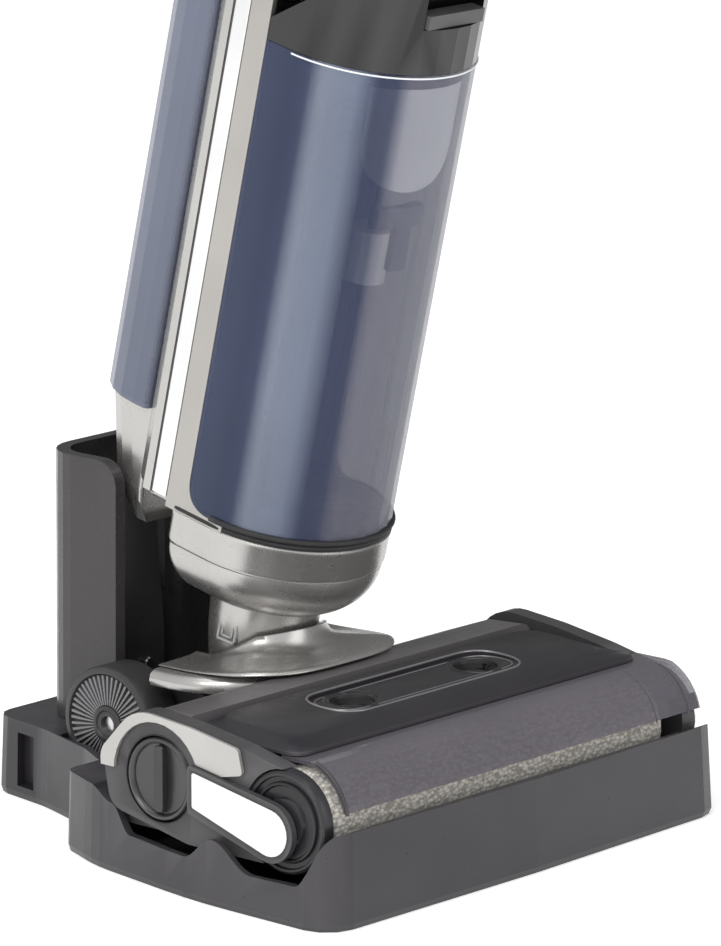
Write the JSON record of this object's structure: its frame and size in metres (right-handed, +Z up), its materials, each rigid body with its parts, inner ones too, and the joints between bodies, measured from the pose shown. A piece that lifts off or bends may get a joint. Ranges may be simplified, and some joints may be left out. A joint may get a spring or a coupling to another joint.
{
  "type": "wet dry floor scrubber",
  "caption": "Upright cordless wet and dry floor scrubber parked in its self-cleaning dock, with clear tanks, pull-out brush roller and lift-off roller cover.",
  "frame": {"origin": "on the floor, straight under the middle of the brush roller, on the dock's flat underside", "axes": "+Z up; +X to the machine's right, along the roller; -Y to the front of the machine"},
  "size_m": [0.2852, 0.3498, 1.1176],
  "materials": {
    "dark_plastic": "satin dark grey moulding",
    "black_plastic": "gloss black moulding",
    "grey_plastic": "fine spark texture",
    "silver_paint": "warm silver metallic paint on plastic",
    "bright_silver": "bright silver metallic",
    "smoke_clear": "blue-grey smoked clear plastic",
    "rubber": "matt",
    "steel": "turned",
    "microfibre": "looped pile, beige with dark flecks",
    "float_foam": "closed-cell foam",
    "filter_pleats": "pleated filter paper",
    "battery_wrap": "shrink wrap"
  },
  "bodies": {
    "dock": {"dock_tray": "dark_plastic", "dock_column": "dark_plastic", "dock_guide": "black_plastic", "charge_pin_left": "steel", "charge_pin_right": "steel", "power_inlet": "black_plastic", "dock_foot_1": "rubber", "dock_foot_2": "rubber", "dock_foot_3": "rubber", "dock_foot_4": "rubber"},
    "head": {"head_chassis": "grey_plastic", "head_deck": "grey_plastic", "side_panel_left": "grey_plastic", "side_panel_right": "grey_plastic", "side_plate": "bright_silver", "drive_end_cap": "black_plastic", "neck_boot": "silver_paint", "brush_motor": "steel", "drive_belt": "rubber", "scraper": "rubber", "hinge_pin": "steel", "wheel_axle_left": "steel", "wheel_axle_right": "steel"},
    "roller_end": {"roller_end_cap": "black_plastic", "roller_arm": "grey_plastic", "arm_inlay": "bright_silver"},
    "roller": {"roller_core": "grey_plastic", "roller_sleeve": "microfibre"},
    "roller_drive": {"drive_dog": "black_plastic"},
    "pinion": {"motor_pinion": "steel"},
    "knob": {"roller_lock_knob": "grey_plastic"},
    "cover": {"roller_cover": "dark_plastic", "roller_window": "smoke_clear"},
    "left_wheel": {"wheel_left": "dark_plastic"},
    "right_wheel": {"wheel_right": "dark_plastic"},
    "upright": {"neck": "silver_paint", "tank_bowl": "silver_paint", "bowl_gasket": "rubber", "spine_frame": "silver_paint", "spine_foot": "silver_paint", "side_rail_left": "bright_silver", "side_rail_right": "bright_silver", "motor_housing": "dark_plastic", "suction_motor": "steel", "battery_pack": "battery_wrap", "display_lens": "black_plastic", "bay_cover": "dark_plastic", "handle_tube": "silver_paint", "grip": "black_plastic"},
    "dirty_water": {"waste_tank": "smoke_clear", "tank_riser": "grey_plastic"},
    "lid": {"tank_lid": "black_plastic", "tank_filter": "filter_pleats"},
    "float": {"tank_float": "float_foam"},
    "release": {"tank_release": "grey_plastic"},
    "clean_water": {"clean_tank": "smoke_clear", "clean_tank_top": "black_plastic"},
    "filler": {"filler_cap": "grey_plastic"},
    "power": {"power_button": "grey_plastic"},
    "mode": {"mode_button": "grey_plastic"}
  },
  "joints": [
    {"name": "undock", "type": "slide", "parent": "dock", "child": "head", "axis": [0, 0, 1], "range_m": [0, 0.45]},
    {"name": "recline", "type": "hinge", "parent": "head", "child": "upright", "pos_m": [0, 0.1437, 0.052], "axis": [-1, 0, 0], "range_deg": [0, 60]},
    {"name": "knob_turn", "type": "hinge", "parent": "head", "child": "knob", "pos_m": [-0.133, 0.0777, 0.0515], "axis": [1, 0, 0], "range_deg": [0, 90]},
    {"name": "roller_pull", "type": "slide", "parent": "head", "child": "roller_end", "axis": [-1, 0, 0], "range_m": [0, 0.26]},
    {"name": "roller_spin", "type": "hinge", "parent": "roller_end", "child": "roller", "pos_m": [0, 0, 0.0449], "axis": [1, 0, 0], "continuous": true},
    {"name": "dog_spin", "type": "hinge", "parent": "head", "child": "roller_drive", "pos_m": [0, 0, 0.0449], "axis": [1, 0, 0], "continuous": true},
    {"name": "pinion_spin", "type": "hinge", "parent": "head", "child": "pinion", "pos_m": [0, 0.074, 0.048], "axis": [1, 0, 0], "continuous": true},
    {"name": "cover_lift", "type": "slide", "parent": "head", "child": "cover", "axis": [0, -0.34, 0.9404], "range_m": [0, 0.08]},
    {"name": "wheel_left_spin", "type": "hinge", "parent": "head", "child": "left_wheel", "pos_m": [-0.05925, 0.1715, 0.0485], "axis": [1, 0, 0], "continuous": true},
    {"name": "wheel_right_spin", "type": "hinge", "parent": "head", "child": "right_wheel", "pos_m": [0.05925, 0.1715, 0.0485], "axis": [1, 0, 0], "continuous": true},
    {"name": "tank_out", "type": "slide", "parent": "upright", "child": "dirty_water", "axis": [0, -0.9925, 0.1219], "range_m": [0, 0.2]},
    {"name": "lid_lift", "type": "slide", "parent": "dirty_water", "child": "lid", "axis": [0, -0.225, 0.9744], "range_m": [0, 0.04]},
    {"name": "float_rise", "type": "slide", "parent": "lid", "child": "float", "axis": [0, -0.225, 0.9744], "range_m": [0, 0.012]},
    {"name": "release_press", "type": "slide", "parent": "lid", "child": "release", "axis": [0, 0.9744, 0.225], "range_m": [0, 0.003], "stiffness_N_per_m": 120},
    {"name": "clean_tank_out", "type": "slide", "parent": "upright", "child": "clean_water", "axis": [0, 0.9744, 0.225], "range_m": [0, 0.09]},
    {"name": "filler_turn", "type": "hinge", "parent": "clean_water", "child": "filler", "pos_m": [0, 0.13716, 0.43597], "axis": [0, -0.225, 0.9744], "range_deg": [0, 90]},
    {"name": "power_press", "type": "slide", "parent": "upright", "child": "power", "axis": [0, 0.9744, 0.225], "range_m": [0, 0.0015], "stiffness_N_per_m": 120},
    {"name": "mode_press", "type": "slide", "parent": "upright", "child": "mode", "axis": [0, 0.9744, 0.225], "range_m": [0, 0.0015], "stiffness_N_per_m": 120}
  ],
  "couplings": [
    {"joint": "recline", "follows": "undock", "rad_per_m": 2.3271},
    {"joint": "dog_spin", "follows": "roller_spin", "ratio": 1},
    {"joint": "pinion_spin", "follows": "roller_spin", "ratio": 2.2857},
    {"joint": "lid_lift", "follows": "tank_out", "ratio": 0.2}
  ]
}
